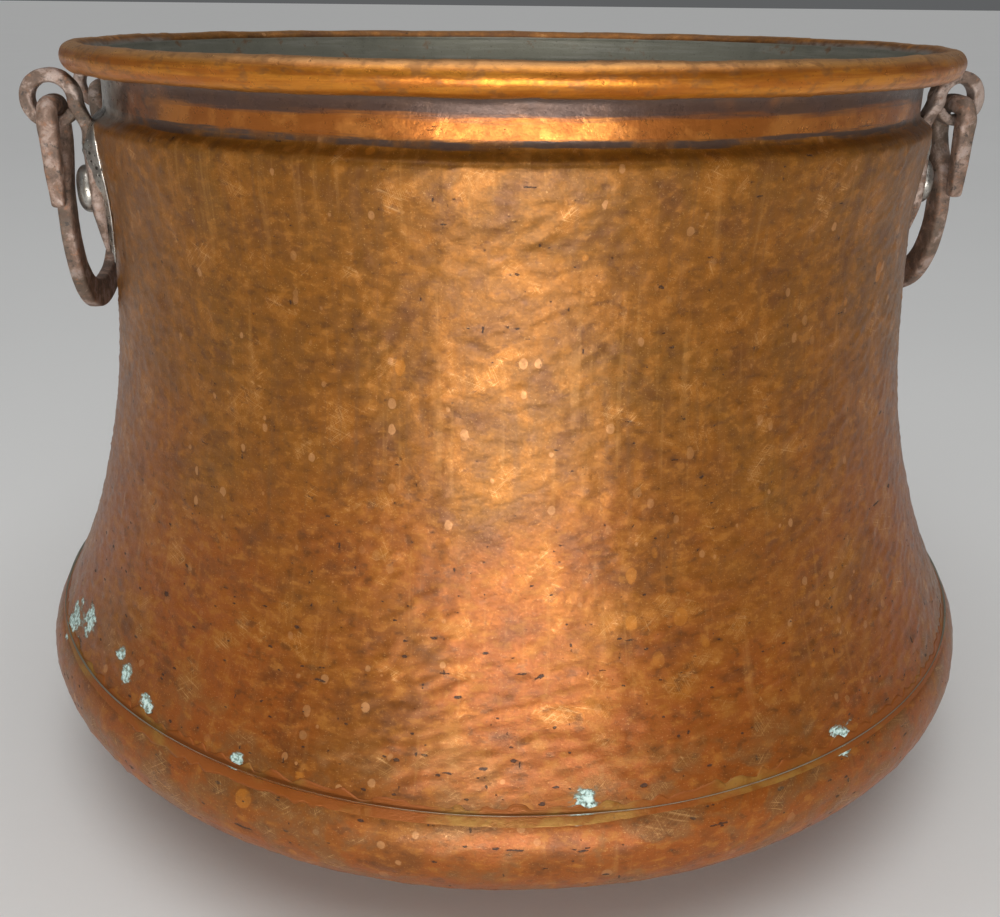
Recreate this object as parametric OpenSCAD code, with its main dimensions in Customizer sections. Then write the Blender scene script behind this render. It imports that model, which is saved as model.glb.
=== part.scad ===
// Large hammered copper cauldron with two forged iron drop handles.
// Millimetres. +Z is up, the origin is the centre of the flat base, the handles lie on +X and -X.
// The side wall is one sheet rolled outward over an iron rod at the rim and brazed to a dished base.

/* [Pot] */
// Height from the base to the top of the rolled rim
pot_h = 438; // [434:1:444]
// Outer radius over the rolled rim
rim_r = 260; // [258:0.5:263]
// Outer radius at the waist of the wall
waist_r = 244; // [240:1:245]
// Height of the waist's upper end, where the flare begins
waist_z = 345; // [338:1:350]
// Outer radius at the base seam, just above the widest circle
seam_r = 300; // [295:1:305]
// Height of the base seam
seam_z = 98; // [95:1:105]
// Radius of the flat face the pot stands on
base_flat_r = 106; // [100:2:130]
// Thickness of the wall sheet
wall_t = 2; // [1.5:0.1:2.5]
// Thickness of the base pan
base_t = 2.5; // [2:0.1:4]

/* [Rim and collar] */
// Diameter of the rolled rim
roll_d = 15; // [14:0.5:16]
// Diameter of the iron rod inside the roll
rim_rod_d = 10.8; // [9:0.1:10.8]
// Outer radius of the recessed collar under the rim
collar_r = 240; // [237:1:242]
// Height of the step between the shoulder and the collar
collar_z = 405; // [403:1:407]
// Outer radius of the shoulder below the collar
shoulder_r = 248; // [246:0.5:248]

/* [Brazed seams] */
// Width of the brass joint between wall and base pan
base_seam_w = 3; // [2:0.5:5]
// Width of the upright brass joint at the back of the wall
side_seam_w = 5; // [3:0.5:8]

/* [Handle brackets] */
// Distance of the hinge axis from the middle plane of the pot
hinge_x = 258.5; // [258.5:0.5:260]
// Distance of each eye from the middle of its handle
eye_y = 64; // [62:0.5:66]
// Height of the middle of the eyes
eye_z = 409; // [408:0.5:409]
// Outer diameter of an eye
eye_d = 32; // [31:0.5:32]
// Diameter of the hole in an eye
eye_hole_d = 17.5; // [17:0.5:18]
// Width of the bar that the eye is curled from
eye_w = 12; // [10:1:12]
// Width of the strap on the wall
strap_w = 28; // [26:1:30]
// Thickness of the strap
strap_t = 7.5; // [6:0.5:7.5]
// Height of the strap's pointed foot
strap_foot_z = 326; // [320:1:332]
// Thickness of the tin bed between the strap and the wall
bed_t = 1.5; // [1:0.5:2]

/* [Rivets] */
// Height of the rivets
rivet_z = 361; // [355:1:364]
// Diameter of the domed head
rivet_head_d = 26; // [22:1:26]
// Height of the domed head
rivet_head_h = 6.5; // [4:0.5:6.5]
// Diameter of the shank
rivet_shank_d = 9; // [7:0.5:10]

/* [Bails] */
// Diameter of the bail's bar where it runs through an eye
bail_d = 10.6; // [10:0.1:10.6]
// Height of the bottom of the bail, along its centre line
bail_low_z = 290; // [286:1:300]
// Distance of the bail's legs from its middle, at their widest
bail_leg_y = 62; // [60:0.5:62]
// Width of the flattened grip
grip_w = 17; // [13:0.5:17]
// Thickness of the flattened grip
grip_t = 8; // [7:0.5:8]
// Length of the tails that hang outside the eyes
tail_l = 46; // [30:1:60]

/* [Hidden] */

$fn = 96;
// Running clearance of a part that is fitted into another
eps = 0.05;
// Overreach of a cutting body, and thickness of the slabs that a hull joins
margin = 1;

// Sides of the four brackets: left is -X, front is -Y
LEFT = -1;
RIGHT = 1;
FRONT = -1;
REAR = 1;

COPPER = "#a8652f";
BASE_COPPER = "#a4512b";
BRASS = "#b9963f";
IRON = "#6f5a50";
TIN = "#a9a8a2";
RIVET_IRON = "#8d8880";

// Rolled rim
roll_r = roll_d / 2;
roll_z = pot_h - roll_r;
roll_c = rim_r - roll_r;

// Shape of the wall: heights of the step and the lip, and pulls of the curves
step_h = 11;
lip_h = 12;
seam_top_z = seam_z + base_seam_w;
flare_pull = 158;
belly_pull = 13;
belly_slope = 0.7;
shoulder_z = collar_z - step_h;
shoulder_pull = 18;
step_pull = 6;
collar_top_z = roll_z - lip_h;
base_side_pull = 73;
base_floor_pull = 25;
wall_steps = 18;
step_steps = 6;

// How far the brass stands out of the copper at the base seam
seam_proud = 0.3;

// Shape of the bails and their hooked ends
bail_r = bail_d / 2;
hinge_gap = 0.3;
hinge_z = eye_z - eye_hole_d / 2 + bail_r + hinge_gap;
hook_bend = 6;
hook_side = 2;
rod_in_y = eye_y - eye_w / 2 - hook_side;
rod_out_y = eye_y + eye_w / 2 + hook_side + 1;
leg_y = rod_in_y - hook_bend;
tail_y = rod_out_y + hook_bend;
leg_top_z = hinge_z - hook_bend;
leg_stub = 8;
leg_overlap = 2;
tail_end_r = 3.8;

// Curve of the legs: where they turn outward, where they settle, and where the bottom begins
leg_turn = 14;
leg_settle = 22;
leg_end = 46;
side_pull = 32;
bottom_pull = 20;
// How much thinner the bar is beside the hook than inside it
bar_step = 0.8;
leg_steps = 12;
bottom_steps = 16;
section_sides = 16;

// Brackets: turn from the handle's middle, place and outline of the strap
bracket_a = asin(eye_y / sqrt(hinge_x * hinge_x + eye_y * eye_y));
strap_inset = 3.5;
strap_in = shoulder_r - strap_inset + bed_t;
strap_out = strap_in + strap_t;
neck_drop = 15;
strap_top_z = eye_z - neck_drop;
arm_drop = 5;
arm_z = eye_z - arm_drop;
neck_w = eye_w + 2;
foot_w = 12;
foot_t = 2.5;
wide_half = 14;
taper_drop = 16;

// Tin beds: reach above the rivet and round the strap, and clearance to the wall
bed_above = 22;
bed_margin = 3;
bed_gap = 0.2;
bed_sides = 24;
bed_h = rivet_z + bed_above - strap_foot_z;

// Rivets: the cut for the shank, and the clenched head inside the pot
shank_inset = 10;
shank_cut = 30;
shank_gap = 0.05;
inner_head_d = 20;
inner_head_h = 3;
inner_head_seat = 0.6;

// Point at t on the cubic curve with control points p
function bez(p, t) =
    pow(1 - t, 3) * p[0] + 3 * t * pow(1 - t, 2) * p[1] + 3 * t * t * (1 - t) * p[2] + pow(t, 3) * p[3];

// Points on a cubic curve, without its first point
function curve(p, n) = [for (i = [1:n]) bez(p, i / n)];

function reversed(list) = [for (i = [len(list) - 1:-1:0]) list[i]];

flare = [
    [seam_r, seam_top_z],
    [seam_r - belly_slope * belly_pull, seam_top_z + belly_pull],
    [waist_r, waist_z - flare_pull],
    [waist_r, waist_z]
];
shoulder = [
    [waist_r, waist_z],
    [waist_r, waist_z + shoulder_pull],
    [shoulder_r, shoulder_z - shoulder_pull],
    [shoulder_r, shoulder_z]
];
step = [
    [shoulder_r, shoulder_z],
    [shoulder_r, shoulder_z + step_pull],
    [collar_r, collar_z - step_pull],
    [collar_r, collar_z]
];
lip = [
    [collar_r, collar_top_z],
    [collar_r, roll_z - step_pull],
    [roll_c - roll_r + wall_t / 2, roll_z - step_pull],
    [roll_c - roll_r + wall_t, roll_z]
];
wall_outer = concat(
    [flare[0]], curve(flare, wall_steps), curve(shoulder, step_steps), curve(step, step_steps),
    [lip[0]], curve(lip, step_steps)
);
wall_inner = [for (p = wall_outer) [p[0] - wall_t, p[1]]];

// Half section of the wall sheet with its rolled rim
module wall_section() {
    difference() {
        union() {
            polygon(concat(wall_outer, reversed(wall_inner)));
            translate([roll_c, roll_z]) circle(r = roll_r);
        }
        translate([roll_c, roll_z]) circle(r = rim_rod_d / 2 + eps);
    }
}

// Everything inside the wall's outer face, a gap wider, used to fit pieces against it
module wall_solid(gap) {
    grown = [for (p = wall_outer) [p[0] + gap, p[1]]];
    rotate_extrude() polygon(concat([[0, seam_top_z]], grown, [[0, roll_z]]));
}

// Upright slot at the back that the side seam fills
module side_seam_slot() {
    translate([-side_seam_w / 2, 0, seam_top_z + side_seam_w])
        cube([side_seam_w, seam_r + margin, shoulder_z - seam_top_z - 2 * side_seam_w]);
}

// Copies a piece that is drawn for the right rear to one of the four brackets
module place(side, end) {
    mirror([side == LEFT ? 1 : 0, 0, 0]) mirror([0, end == FRONT ? 1 : 0, 0]) children();
}

// Turns a piece so that its X axis points out through the middle of the strap
module radial() {
    rotate([0, 0, bracket_a]) children();
}

module rivet_shank(r) {
    radial()
        translate([collar_r - shank_inset, 0, rivet_z])
        rotate([0, 90, 0])
        cylinder(r = r, h = shank_cut);
}

module rivet_holes() {
    for (side = [LEFT, RIGHT], end = [FRONT, REAR])
        place(side, end) rivet_shank(rivet_shank_d / 2 + shank_gap);
}

module body_wall() {
    color(COPPER) difference() {
        rotate_extrude() wall_section();
        side_seam_slot();
        rivet_holes();
    }
}

module side_seam() {
    color(BRASS) intersection() {
        rotate_extrude() polygon(concat(wall_outer, reversed(wall_inner)));
        side_seam_slot();
    }
}

module rim_rod() {
    color(IRON) rotate_extrude() translate([roll_c, roll_z]) circle(d = rim_rod_d);
}

// Dished base: one face of its rounded side, from the seam down to the flat middle
function base_side(inset) = concat([[seam_r - inset, seam_z]], curve([
    [seam_r - inset, seam_z],
    [seam_r - inset + belly_slope * base_side_pull, seam_z - base_side_pull],
    [base_flat_r + base_floor_pull, inset],
    [base_flat_r, inset]
], wall_steps));

module base_pan() {
    color(BASE_COPPER) rotate_extrude()
        polygon(concat(base_side(0), [[0, 0], [0, base_t]], reversed(base_side(base_t))));
}

module base_seam() {
    color(BRASS) rotate_extrude()
        translate([seam_r - base_t, seam_z]) square([base_t + seam_proud, base_seam_w]);
}

// Outline of the strap, seen from outside: a pointed foot, full width, then a neck below the eye
strap_outline = [
    [-foot_w / 2, strap_foot_z], [foot_w / 2, strap_foot_z],
    [strap_w / 2, rivet_z - wide_half], [strap_w / 2, rivet_z + wide_half],
    [neck_w / 2, strap_top_z], [-neck_w / 2, strap_top_z],
    [-strap_w / 2, rivet_z + wide_half], [-strap_w / 2, rivet_z - wide_half]
];
// Section of the strap, which thins towards its foot
strap_profile = [
    [strap_in, strap_foot_z], [strap_in + foot_t, strap_foot_z],
    [strap_out, rivet_z - taper_drop], [strap_out, strap_top_z], [strap_in, strap_top_z]
];

module strap() {
    radial() intersection() {
        rotate([90, 0, 90]) linear_extrude(strap_out + margin) polygon(strap_outline);
        translate([0, strap_w, 0]) rotate([90, 0, 0]) linear_extrude(2 * strap_w) polygon(strap_profile);
    }
}

// Forged neck between the strap, which follows the wall, and the eye, which follows the hinge axis
module neck() {
    hull() {
        radial() translate([strap_in, -neck_w / 2, strap_top_z - margin]) cube([strap_t, neck_w, margin]);
        translate([hinge_x - eye_d / 2, eye_y - eye_w / 2, arm_z]) cube([strap_t, eye_w, margin]);
    }
    translate([hinge_x - eye_d / 2, eye_y - eye_w / 2, arm_z]) cube([strap_t, eye_w, eye_z - arm_z]);
}

module bracket() {
    color(IRON) difference() {
        union() {
            strap();
            neck();
            translate([hinge_x, eye_y + eye_w / 2, eye_z]) rotate([90, 0, 0]) cylinder(d = eye_d, h = eye_w);
        }
        translate([hinge_x, eye_y + eye_w, eye_z]) rotate([90, 0, 0]) cylinder(d = eye_hole_d, h = 2 * eye_w);
        rivet_shank(rivet_shank_d / 2 + shank_gap);
    }
}

// Bed of tin between the strap and the wall, a little wider than the strap
module solder_bed() {
    bed_outline = [for (i = [0:bed_sides - 1])
        let (a = 360 * i / bed_sides)
        [(strap_w / 2 + bed_margin) * cos(a), (bed_h / 2 + bed_margin) * sin(a)]];
    color(TIN) difference() {
        radial() translate([0, 0, strap_foot_z + bed_h / 2 - bed_margin / 2])
            rotate([90, 0, 90]) linear_extrude(strap_in) polygon(bed_outline);
        wall_solid(bed_gap);
        rivet_shank(rivet_shank_d / 2 + shank_gap);
    }
}

// Spherical cap of a given width and height, standing on the XY plane
module dome(d, h) {
    ball_r = (d * d / 4 + h * h) / (2 * h);
    intersection() {
        translate([0, 0, h - ball_r]) sphere(r = ball_r);
        cylinder(d = d + margin, h = h + margin);
    }
}

// Rivet with a domed head on the strap and a flatter clenched head inside the pot
module rivet() {
    inner_x = waist_r - wall_t - inner_head_seat;
    color(RIVET_IRON) radial() translate([0, 0, rivet_z]) union() {
        translate([strap_out, 0, 0]) rotate([0, 90, 0]) dome(rivet_head_d, rivet_head_h);
        translate([inner_x - margin, 0, 0]) rotate([0, 90, 0])
            cylinder(d = rivet_shank_d, h = strap_out - inner_x + 2 * margin);
        translate([inner_x, 0, 0]) rotate([0, -90, 0]) dome(inner_head_d, inner_head_h);
    }
}

// Centre line of one leg of the bail and half of its bottom, in the plane of the hinge axis
leg_line = [
    [leg_y, leg_top_z - leg_stub + leg_overlap], [leg_y, leg_top_z - leg_stub - leg_turn],
    [bail_leg_y, leg_top_z - leg_stub - leg_settle], [bail_leg_y, leg_top_z - leg_stub - leg_end]
];
bottom_line = [
    leg_line[3], [bail_leg_y, leg_line[3][1] - side_pull],
    [bail_leg_y - bottom_pull, bail_low_z], [0, bail_low_z]
];
half_line = concat([leg_line[0]], curve(leg_line, leg_steps), curve(bottom_line, bottom_steps));
half_n = len(half_line);
full_line = concat(half_line, [for (i = [half_n - 2:-1:0]) [-half_line[i][0], half_line[i][1]]]);
full_n = len(full_line);

// How far the bar has flattened from the round at the hook to the grip, from 0 to 1
function flattened(i) =
    let (near_end = min(i, full_n - 1 - i) / leg_steps)
    near_end >= 1 ? 1 : near_end * near_end * (3 - 2 * near_end);

function line_direction(i) =
    let (d = full_line[min(i + 1, full_n - 1)] - full_line[max(i - 1, 0)]) d / norm(d);

// Oval ring of points round the bar, at point i of its line
function bar_ring(i) =
    let (
        d = line_direction(i),
        w = (bail_d - bar_step) * (1 - flattened(i)) + grip_w * flattened(i),
        t = (bail_d - bar_step) * (1 - flattened(i)) + grip_t * flattened(i)
    )
    [for (k = [0:section_sides - 1])
        let (a = 360 * k / section_sides, across = w / 2 * cos(a))
        [hinge_x + t / 2 * sin(a), full_line[i][0] + d[1] * across, full_line[i][1] - d[0] * across]];

module grip() {
    s = section_sides;
    points = [for (i = [0:full_n - 1]) each bar_ring(i)];
    sides = [for (i = [0:full_n - 2], k = [0:s - 1])
        let (a = i * s + k, b = i * s + (k + 1) % s)
        each [[a, b, b + s], [a, b + s, a + s]]];
    first_cap = [[for (k = [s - 1:-1:0]) k]];
    last_cap = [[for (k = [0:s - 1]) (full_n - 1) * s + k]];
    polyhedron(points = points, faces = concat(sides, first_cap, last_cap), convexity = 6);
}

// Quarter bend of the bar that turns from the hinge line to pointing down
module hook_quarter(start_a) {
    rotate([90, 0, 90]) rotate_extrude(angle = 90, start = start_a)
        translate([hook_bend, 0]) circle(r = bail_r);
}

module hook() {
    translate([hinge_x, rod_in_y, hinge_z])
        rotate([-90, 0, 0])
        cylinder(r = bail_r, h = rod_out_y - rod_in_y);
    translate([hinge_x, rod_in_y, leg_top_z]) hook_quarter(90);
    translate([hinge_x, rod_out_y, leg_top_z]) hook_quarter(0);
    translate([hinge_x, leg_y, leg_top_z - leg_stub]) cylinder(r = bail_r, h = leg_stub);
    translate([hinge_x, tail_y, leg_top_z - tail_l]) cylinder(r1 = tail_end_r, r2 = bail_r, h = tail_l);
}

module bail() {
    color(IRON) union() {
        hook();
        mirror([0, 1, 0]) hook();
        grip();
    }
}

body_wall();
base_pan();
base_seam();
side_seam();
rim_rod();
place(LEFT, FRONT) bracket();  // left_front_bracket
place(LEFT, REAR) bracket();  // left_rear_bracket
place(RIGHT, FRONT) bracket();  // right_front_bracket
place(RIGHT, REAR) bracket();  // right_rear_bracket
place(LEFT, FRONT) solder_bed();  // left_front_solder
place(LEFT, REAR) solder_bed();  // left_rear_solder
place(RIGHT, FRONT) solder_bed();  // right_front_solder
place(RIGHT, REAR) solder_bed();  // right_rear_solder
place(LEFT, FRONT) rivet();  // left_front_rivet
place(LEFT, REAR) rivet();  // left_rear_rivet
place(RIGHT, FRONT) rivet();  // right_front_rivet
place(RIGHT, REAR) rivet();  // right_rear_rivet
place(LEFT, REAR) bail();  // left_bail
bail();  // right_bail
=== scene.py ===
import math

import bmesh
import bpy
import numpy as np
from mathutils import Matrix, Vector, noise


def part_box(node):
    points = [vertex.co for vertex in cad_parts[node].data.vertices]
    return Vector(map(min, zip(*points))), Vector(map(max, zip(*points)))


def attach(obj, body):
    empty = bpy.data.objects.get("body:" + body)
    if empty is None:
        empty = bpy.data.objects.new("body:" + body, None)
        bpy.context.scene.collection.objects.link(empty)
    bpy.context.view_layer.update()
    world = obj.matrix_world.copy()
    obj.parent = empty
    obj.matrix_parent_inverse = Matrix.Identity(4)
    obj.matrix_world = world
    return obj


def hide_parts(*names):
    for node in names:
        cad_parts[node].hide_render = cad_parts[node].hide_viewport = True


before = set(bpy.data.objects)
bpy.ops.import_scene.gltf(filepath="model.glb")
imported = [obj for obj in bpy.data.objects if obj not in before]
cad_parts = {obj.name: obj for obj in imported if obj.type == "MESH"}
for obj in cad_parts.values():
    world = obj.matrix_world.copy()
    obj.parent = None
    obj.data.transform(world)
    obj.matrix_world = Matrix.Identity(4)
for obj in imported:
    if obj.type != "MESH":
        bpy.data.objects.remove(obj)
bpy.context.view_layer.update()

# ------------------------------------------------------------------ sizes
# All in metres, in the frame of the CAD model: +Z up, handles on +X and -X.
# Right is +X, rear is +Y. What the frame can tell is read from it.

MM = 0.001
rod_low, rod_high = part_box("rim_rod")
seam_low, seam_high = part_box("base_seam")
side_low, side_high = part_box("side_seam")
bail_low, bail_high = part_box("right_bail")
bracket_low, bracket_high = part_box("right_rear_bracket")

POT_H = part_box("body_wall")[1][2]
SEAM_PROUD = 0.3 * MM
BELLY_R = seam_high[0] - SEAM_PROUD
BELLY_Z = seam_low[2]
SEAM_TOP_Z = seam_high[2]
ROD_R = (rod_high[2] - rod_low[2]) / 2
ROLL_Z = (rod_high[2] + rod_low[2]) / 2
ROLL_R = POT_H - ROLL_Z
ROLL_C = rod_high[0] - ROD_R

# Shape of the sheet, the same values as in the part's source
WALL_T = 2 * MM
BASE_T = 2.5 * MM
WAIST_R = 244 * MM
WAIST_Z = 345 * MM
FLARE_PULL = 158 * MM
BELLY_PULL = 13 * MM
BELLY_SLOPE = 0.7
BASE_FLAT_R = 106 * MM
BASE_SIDE_PULL = 73 * MM
BASE_FLOOR_PULL = 25 * MM
COLLAR_R = 240 * MM
COLLAR_Z = 405 * MM
SHOULDER_R = 248 * MM
SHOULDER_Z = COLLAR_Z - 11 * MM
SHOULDER_PULL = 18 * MM
STEP_PULL = 6 * MM
COLLAR_TOP_Z = ROLL_Z - 12 * MM
SLOW_DENT = 0.45 * MM
EASE_REACH = 26 * MM
WALL_COLUMNS = 660
PAN_COLUMNS = 500
SEAM_COLUMNS = 1000

# Hammer marks: width, height, depth and tilt of one blow
WALL_MARKS = (9 * MM, 6 * MM, 0.75 * MM, 0.034)
PAN_MARKS = (11 * MM, 8 * MM, 0.62 * MM, 0.026)
ROLL_MARKS = (17 * MM, 12 * MM, 0.45 * MM, 0.012)

# Handles
BAIL_R = (bail_high[0] - bail_low[0]) / 2
HINGE_X = (bail_high[0] + bail_low[0]) / 2
HINGE_Z = bail_high[2] - BAIL_R
GRIP_W = 17 * MM
GRIP_T = 8 * MM
GRIP_Z = bail_low[2] + GRIP_W / 2
EYE_R = bracket_high[0] - HINGE_X
EYE_Z = bracket_high[2] - EYE_R
EYE_Y = 64 * MM
EYE_W = 12 * MM
EYE_BAR = 7.25 * MM
STRAP_T = 7.5 * MM
STRAP_IN = 246 * MM
FOOT_Z = bracket_low[2]
RIVET_Z = 361 * MM
HEAD_R = 13 * MM
HEAD_H = 6.5 * MM
INNER_HEAD_R = 10 * MM
INNER_HEAD_H = 3 * MM
BRACKET_A = math.atan2(EYE_Y, HINGE_X)
HOOK_BEND = 6 * MM
ROD_IN_Y = EYE_Y - EYE_W / 2 - 2 * MM
ROD_OUT_Y = EYE_Y + EYE_W / 2 + 3 * MM
TAIL_L = 46 * MM
LEG_Y = 62 * MM
BED_HALF_W = 25 * MM
BED_TOP_Z = 417 * MM
STRAP_ROUGH = 0.38 * MM
BAIL_ROUGH = 0.22 * MM

SIDES = {"left": -1, "right": 1}
ENDS = {"front": -1, "rear": 1}


def bezier(points, t):
    """Points on a cubic curve, for an array t from 0 to 1."""
    p = np.array(points)
    t = np.asarray(t)[:, None]
    return (1 - t) ** 3 * p[0] + 3 * t * (1 - t) ** 2 * p[1] + 3 * t * t * (1 - t) * p[2] + t ** 3 * p[3]


def smooth(low, high, x):
    """0 below low, 1 above high, and a smooth step between them."""
    t = np.clip((np.asarray(x, float) - low) / (high - low), 0, 1)
    return t * t * (3 - 2 * t)


# ------------------------------------------------------------------ outline of the pot

def wall_line(step=1.7 * MM):
    """The wall's outer face from the base seam up to the roll, evenly spaced."""
    t = np.linspace(0, 1, 60)
    parts = [
        bezier([(BELLY_R, SEAM_TOP_Z), (BELLY_R - BELLY_SLOPE * BELLY_PULL, SEAM_TOP_Z + BELLY_PULL),
                (WAIST_R, WAIST_Z - FLARE_PULL), (WAIST_R, WAIST_Z)], t),
        bezier([(WAIST_R, WAIST_Z), (WAIST_R, WAIST_Z + SHOULDER_PULL),
                (SHOULDER_R, SHOULDER_Z - SHOULDER_PULL), (SHOULDER_R, SHOULDER_Z)], t),
        bezier([(SHOULDER_R, SHOULDER_Z), (SHOULDER_R, SHOULDER_Z + STEP_PULL),
                (COLLAR_R, COLLAR_Z - STEP_PULL), (COLLAR_R, COLLAR_Z)], t),
        bezier([(COLLAR_R, COLLAR_Z), (COLLAR_R, COLLAR_Z + STEP_PULL),
                (COLLAR_R, COLLAR_TOP_Z - STEP_PULL), (COLLAR_R, COLLAR_TOP_Z)], t),
    ]
    return even(np.concatenate(parts), step)


def even(line, step):
    """The same line with points about step apart."""
    keep = np.r_[True, np.linalg.norm(np.diff(line, axis=0), axis=1) > 1e-9]
    line = line[keep]
    run = np.r_[0, np.cumsum(np.linalg.norm(np.diff(line, axis=0), axis=1))]
    at = np.linspace(0, run[-1], max(2, int(round(run[-1] / step)) + 1))
    return np.stack([np.interp(at, run, line[:, k]) for k in range(line.shape[1])], axis=1)


wall_curve = wall_line(0.5 * MM)


def wall_radius(z):
    """Outer radius of the wall at a height, before the hammering."""
    return np.interp(z, wall_curve[:, 1], wall_curve[:, 0])


# ------------------------------------------------------------------ hand work on the sheet

rng = np.random.default_rng(7)
WAVES = [(int(n), rng.uniform(0, 6.28), rng.uniform(0, 6.28), rng.uniform(6, 22), a)
         for n, a in ((2, 0.9), (3, 0.7), (5, 0.45), (7, 0.35), (9, 0.3), (12, 0.25), (17, 0.2), (23, 0.14))]


def seam_ease(z):
    """Draws the sheets together at the base seam, so that the belly runs on smoothly through it."""
    middle, half = (BELLY_Z + SEAM_TOP_Z) / 2, (SEAM_TOP_Z - BELLY_Z) / 2
    away = z - middle
    return -BELLY_SLOPE * np.clip(away, -half, half) * (1 - smooth(half, EASE_REACH, np.abs(away)))


def unevenness(angle, z):
    """Slow dents and swellings of the whole sheet, about a millimetre, and its run through the seam."""
    total = np.zeros(np.broadcast(angle, z).shape)
    for turns, phase, other, rate, height in WAVES:
        total = total + height * np.sin(turns * angle + phase + 2.0 * np.sin(rate * z + other))
    return total * SLOW_DENT + seam_ease(z)


MARK_TABLE = 512
MARK_SLANT = 0.30
mark_jitter = rng.uniform(-0.34, 0.34, (MARK_TABLE, MARK_TABLE, 2))
mark_tilt = rng.normal(0, 1, (MARK_TABLE, MARK_TABLE, 2))
mark_depth = rng.uniform(0.3, 1.4, (MARK_TABLE, MARK_TABLE))


def hammer_marks(angle, along, wide, tall, depth, tilt):
    """Planishing: each blow leaves a shallow oval facet, and the blows run in slanting rows.

    The rows begin and end at the upright seam at the back."""
    run = ((angle + math.pi) % (2 * math.pi) - math.pi) * WAIST_R
    u = run / wide
    v = (along - MARK_SLANT * run) / tall
    row0 = np.floor(v).astype(int)
    best = np.full(np.broadcast(u, v).shape, 9.0)
    height = np.zeros(best.shape)
    for dr in (-1, 0, 1):
        row = row0 + dr
        stagger = (row % 2) * 0.5
        col0 = np.floor(u - stagger).astype(int)
        for dc in (-1, 0, 1):
            col = col0 + dc
            key = (row % MARK_TABLE, col % MARK_TABLE)
            du = u - (col + 0.5 + stagger + mark_jitter[key][..., 0])
            dv = v - (row + 0.5 + mark_jitter[key][..., 1])
            gap = np.hypot(du, dv)
            facet = depth * mark_depth[key] * (gap ** 2 - 0.25)
            facet = facet + tilt * tall * (mark_tilt[key][..., 0] * du + mark_tilt[key][..., 1] * dv)
            height = np.where(gap < best, facet, height)
            best = np.minimum(gap, best)
    return height


# ------------------------------------------------------------------ mesh helpers

def mesh_object(name, points, faces, materials, index=None):
    """A smooth-shaded mesh object with one material or more. Faces keep the order they are given in."""
    mesh = bpy.data.meshes.new(name)
    mesh.from_pydata([tuple(map(float, p)) for p in points], [], faces)
    mesh.validate()
    for material in materials:
        mesh.materials.append(material)
    if index is not None:
        mesh.polygons.foreach_set("material_index", np.asarray(index, dtype=np.int32))
    mesh.polygons.foreach_set("use_smooth", np.ones(len(mesh.polygons), dtype=bool))
    mesh.update()
    piece = bpy.data.objects.new(name, mesh)
    bpy.context.scene.collection.objects.link(piece)
    return piece


def section_normals(section, closed):
    """Unit normals to the right of a section line's travel, one for each point."""
    if closed:
        run = np.roll(section, -1, axis=0) - np.roll(section, 1, axis=0)
    else:
        run = np.gradient(section, axis=0)
    run = run / np.maximum(np.linalg.norm(run, axis=1, keepdims=True), 1e-12)
    return np.stack([run[:, 1], -run[:, 0]], axis=1)


def grid_faces(rows, columns, close_rows):
    """Quads of a grid of points that is closed round its columns, and round its rows if close_rows."""
    faces = []
    last = rows if close_rows else rows - 1
    for i in range(last):
        a, b = i * columns, ((i + 1) % rows) * columns
        for k in range(columns):
            n = (k + 1) % columns
            faces.append((a + k, a + n, b + n, b + k))
    return faces


def revolve(name, section, columns, shift, materials, row_material=None, closed=True):
    """Turns a section about Z. shift is added along the normal.

    An open section has both its ends on the axis."""
    normals = section_normals(section, closed)
    angle = np.linspace(0, 2 * math.pi, columns, endpoint=False)
    body = section if closed else section[1:-1]
    lean = normals if closed else normals[1:-1]
    rows = len(body)
    d = shift(angle[None, :], np.arange(rows)[:, None], body[:, 0][:, None], body[:, 1][:, None])
    r = body[:, 0][:, None] + d * lean[:, 0][:, None]
    z = body[:, 1][:, None] + d * lean[:, 1][:, None]
    z = np.broadcast_to(z, r.shape)
    points = np.stack([r * np.sin(angle), -r * np.cos(angle), z], axis=2).reshape(-1, 3)
    faces = grid_faces(rows, columns, closed)
    index = None
    if row_material is not None:
        bands = rows if closed else rows - 1
        index = [row_material(i) for i in range(bands) for _ in range(columns)]
    if not closed:
        start, end = len(points), len(points) + 1
        points = np.vstack([points, [0, 0, section[0][1]], [0, 0, section[-1][1]]])
        for k in range(columns):
            n = (k + 1) % columns
            faces.append((start, n, k))
            faces.append((end, (rows - 1) * columns + k, (rows - 1) * columns + n))
            if index is not None:
                index.extend((row_material(0), row_material(rows - 1)))
    return mesh_object(name, points, faces, materials, index)


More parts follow.
